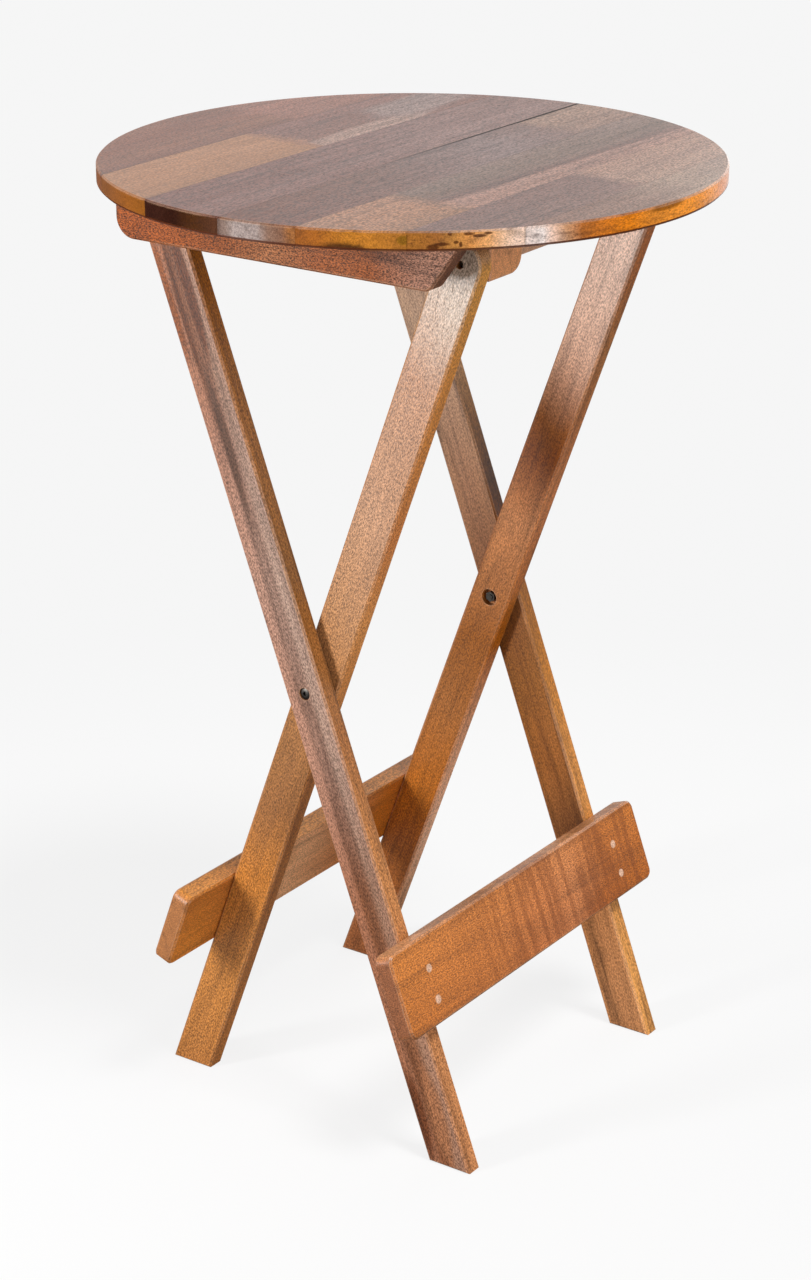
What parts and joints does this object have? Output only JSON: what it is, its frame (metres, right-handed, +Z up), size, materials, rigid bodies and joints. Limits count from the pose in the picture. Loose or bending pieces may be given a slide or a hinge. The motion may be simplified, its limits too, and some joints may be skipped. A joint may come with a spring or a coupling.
{
  "type": "folding high bistro table",
  "caption": "Folding wooden high table: round edge-glued top on two crossed leg frames that scissor shut.",
  "frame": {"origin": "on the floor under the middle of the round top", "axes": "+Z up, X along the two battens, Y along the pivots; the outer frame's feet are on the +X side"},
  "size_m": [0.6, 0.6, 0.96],
  "materials": {
    "board_mauve": "satin oiled",
    "board_tan": "satin oiled",
    "board_dark": "satin oiled",
    "board_pink": "satin oiled",
    "wood_grey_brown": "satin oiled",
    "wood_golden": "satin oiled",
    "wood_pink_tan": "satin oiled",
    "wood_orange_brown": "satin oiled",
    "wood_filler": "satin oiled",
    "zinc_steel": "zinc plated",
    "brass": "satin",
    "nylon": "matt"
  },
  "bodies": {
    "outer_frame": {"leg_outer_front": "wood_grey_brown", "leg_outer_rear": "wood_grey_brown", "foot_rail_outer": "wood_orange_brown", "rail_outer_screws": "zinc_steel", "rail_outer_plugs": "wood_filler", "scissor_bolts": "zinc_steel", "scissor_washers": "zinc_steel", "scissor_nuts": "zinc_steel", "hinge_washers": "nylon"},
    "inner_frame": {"leg_inner_front": "wood_golden", "leg_inner_rear": "wood_pink_tan", "foot_rail_inner": "wood_orange_brown", "rail_inner_screws": "zinc_steel", "rail_inner_plugs": "wood_filler", "cross_dowel": "wood_pink_tan", "dowel_screws": "zinc_steel"},
    "top": {"top_board_1_front": "board_mauve", "top_board_1_rear": "board_pink", "top_board_2_front": "board_tan", "top_board_2_rear": "board_mauve", "top_board_3": "board_mauve", "top_board_4_front": "board_dark", "top_board_4_rear": "board_tan", "top_board_5_front": "board_tan", "top_board_5_rear": "board_mauve", "top_board_6_front": "board_dark", "top_board_6_rear": "board_pink", "top_board_7": "board_pink", "batten_front": "wood_orange_brown", "batten_rear": "wood_orange_brown", "catch_block_front": "wood_grey_brown", "catch_block_rear": "wood_grey_brown", "batten_screws": "zinc_steel", "catch_block_screws": "zinc_steel", "hinge_inserts": "brass", "hinge_bolts": "zinc_steel"}
  },
  "joints": [
    {"name": "scissor", "type": "hinge", "parent": "outer_frame", "child": "inner_frame", "pos_m": [0, 0, 0.46737], "axis": [0, -1, 0], "range_deg": [0, 39.5]},
    {"name": "top_hinge", "type": "hinge", "parent": "outer_frame", "child": "top", "pos_m": [-0.1625, 0, 0.9115], "axis": [0, -1, 0], "range_deg": [0, 108.3]}
  ],
  "couplings": [
    {"joint": "top_hinge", "follows": "scissor", "ratio": 2.74}
  ]
}
